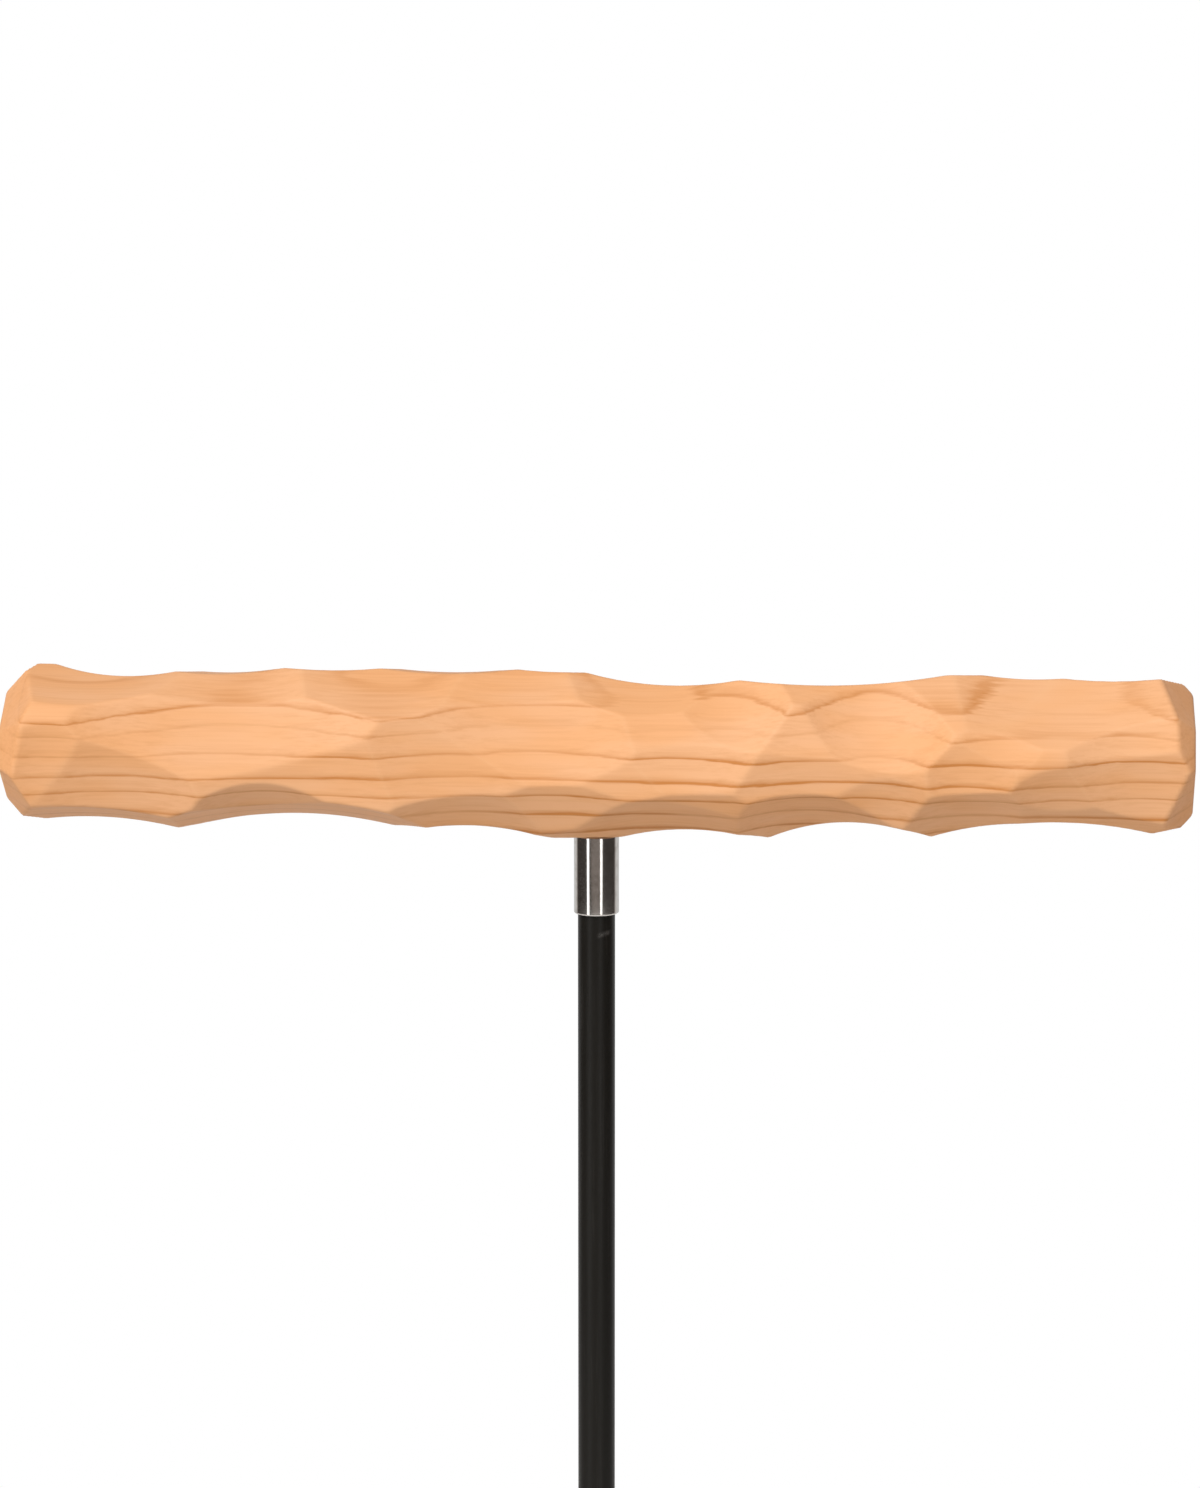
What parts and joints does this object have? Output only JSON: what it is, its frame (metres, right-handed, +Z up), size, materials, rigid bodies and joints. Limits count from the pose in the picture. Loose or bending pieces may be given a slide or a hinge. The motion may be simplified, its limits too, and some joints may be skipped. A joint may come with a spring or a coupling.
{
  "type": "bird t-stand",
  "caption": "Free-standing bird perch: a hand-carved wooden bar on a bright ferrule and a black telescoping mast with a clamp knob, on a hub with fold-up legs.",
  "frame": {"origin": "on the floor under the mast's axis, at the middle of the outer tube's rubber cap", "axes": "+Z up along the mast, X along the perch, front of the perch towards -Y"},
  "size_m": [0.6464, 0.5627, 1.0358],
  "materials": {
    "wood": "satin",
    "bright_steel": "polished",
    "steel": "satin",
    "black_paint": "satin",
    "black_casting": "matte",
    "black_plastic": "matte",
    "pale_plastic": "matte",
    "rubber": "matte",
    "brass": "satin"
  },
  "bodies": {
    "base": {"outer_tube": "black_paint", "tube_tip": "rubber", "hub": "black_casting", "hub_screw": "steel", "clamp_collar": "black_plastic", "guide_bush": "pale_plastic", "clamp_insert": "brass", "collar_screw": "steel", "leg_pin_rear": "steel", "leg_pin_left": "steel", "leg_pin_right": "steel", "leg_nut_rear": "steel", "leg_nut_left": "steel", "leg_nut_right": "steel", "leg_washers_rear": "pale_plastic", "leg_washers_left": "pale_plastic", "leg_washers_right": "pale_plastic"},
    "glide": {"glide_ring": "pale_plastic"},
    "mast": {"mast_tube": "black_paint", "mast_plug": "steel", "glide_plug": "black_plastic"},
    "washer": {"lock_washer": "steel"},
    "perch_head": {"perch": "wood", "perch_bolt": "steel", "ferrule": "bright_steel"},
    "pad": {"pressure_pad": "brass"},
    "knob": {"clamp_knob": "black_plastic", "clamp_screw": "steel"},
    "leg_rear": {"leg_knuckle_rear": "black_casting", "leg_tube_rear": "black_paint", "leg_foot_rear": "rubber"},
    "leg_left": {"leg_knuckle_left": "black_casting", "leg_tube_left": "black_paint", "leg_foot_left": "rubber"},
    "leg_right": {"leg_knuckle_right": "black_casting", "leg_tube_right": "black_paint", "leg_foot_right": "rubber"}
  },
  "joints": [
    {"name": "height_slide", "type": "slide", "parent": "base", "child": "glide", "axis": [0, 0, 1], "range_m": [-0.331, 0.169]},
    {"name": "mast_turn", "type": "hinge", "parent": "glide", "child": "mast", "pos_m": [0, 0, 0.386], "axis": [0, 0, 1], "continuous": true},
    {"name": "perch_lift", "type": "slide", "parent": "mast", "child": "washer", "axis": [0, 0, 1], "range_m": [0, 0.01271]},
    {"name": "perch_unscrew", "type": "hinge", "parent": "washer", "child": "perch_head", "pos_m": [0, 0, 0.9473], "axis": [0, 0, 1], "range_deg": [0, 2880]},
    {"name": "pad_feed", "type": "slide", "parent": "base", "child": "pad", "axis": [1, 0, 0], "range_m": [0, 0.0025]},
    {"name": "knob_turn", "type": "hinge", "parent": "pad", "child": "knob", "pos_m": [0.0315, 0, 0.567], "axis": [1, 0, 0], "range_deg": [0, 720.5]},
    {"name": "leg_fold_rear", "type": "hinge", "parent": "base", "child": "leg_rear", "pos_m": [0, 0.03, 0.104], "axis": [1, 0, 0], "range_deg": [0, 106.5]},
    {"name": "leg_fold_left", "type": "hinge", "parent": "base", "child": "leg_left", "pos_m": [-0.02598, -0.015, 0.104], "axis": [-0.5, 0.866, 0], "range_deg": [0, 106.5]},
    {"name": "leg_fold_right", "type": "hinge", "parent": "base", "child": "leg_right", "pos_m": [0.02598, -0.015, 0.104], "axis": [-0.5, -0.866, 0], "range_deg": [0, 106.5]}
  ],
  "couplings": [
    {"joint": "perch_lift", "follows": "perch_unscrew", "m_per_rad": 0.00025266},
    {"joint": "knob_turn", "follows": "pad_feed", "rad_per_m": 5026.5}
  ]
}
